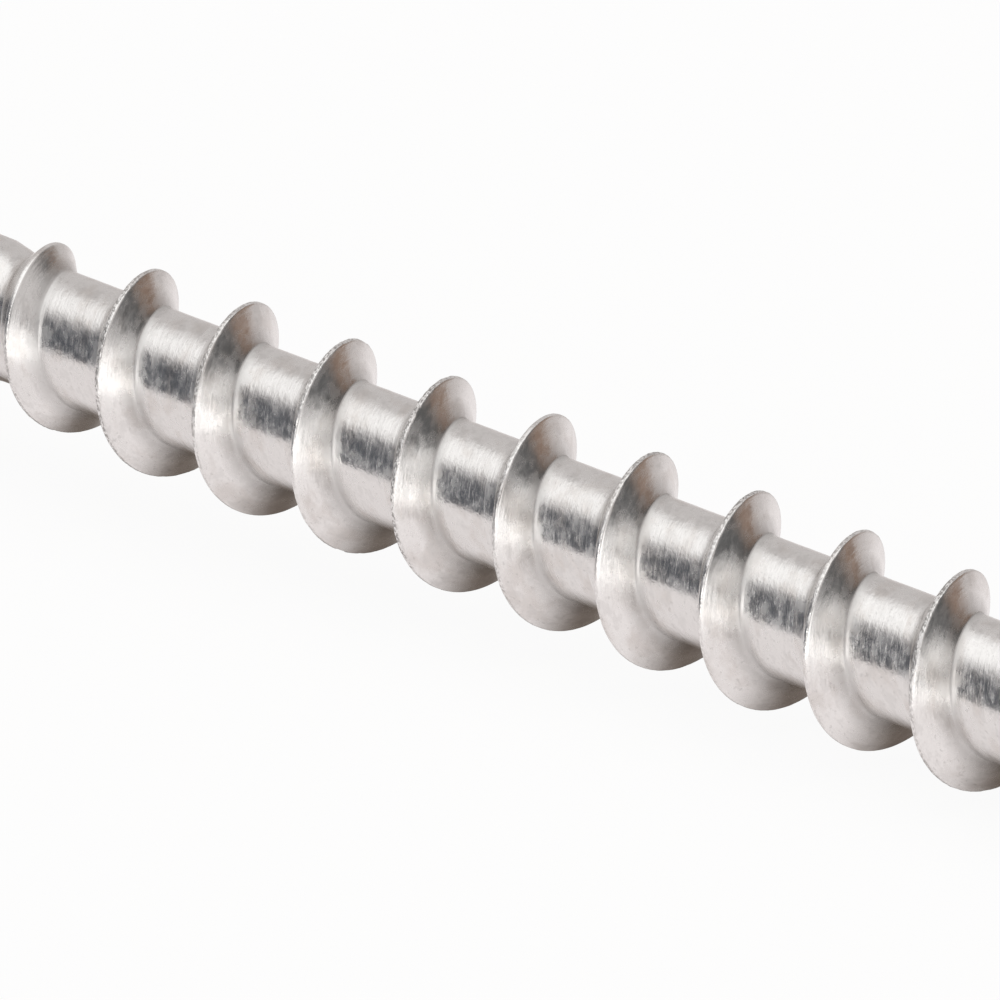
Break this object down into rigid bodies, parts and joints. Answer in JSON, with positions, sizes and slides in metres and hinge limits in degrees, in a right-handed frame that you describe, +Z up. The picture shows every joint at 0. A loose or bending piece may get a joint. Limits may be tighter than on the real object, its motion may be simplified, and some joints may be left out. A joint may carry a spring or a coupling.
{
  "type": "deck screw",
  "caption": "Bright steel deck screw with a bugle head, a six-lobe recess, a plain shank, a coarse right-hand thread and a sharp point, lying on its side.",
  "frame": {"origin": "centre of the footprint, on the surface that the screw lies on", "axes": "+X along the screw towards its point, +Z up; the axis dips 1.9 degrees towards the point, because the head is wider than the thread"},
  "size_m": [0.0762, 0.0094, 0.0094],
  "materials": {
    "steel": "gloss"
  },
  "bodies": {
    "root": {"screw": "steel"}
  },
  "joints": []
}
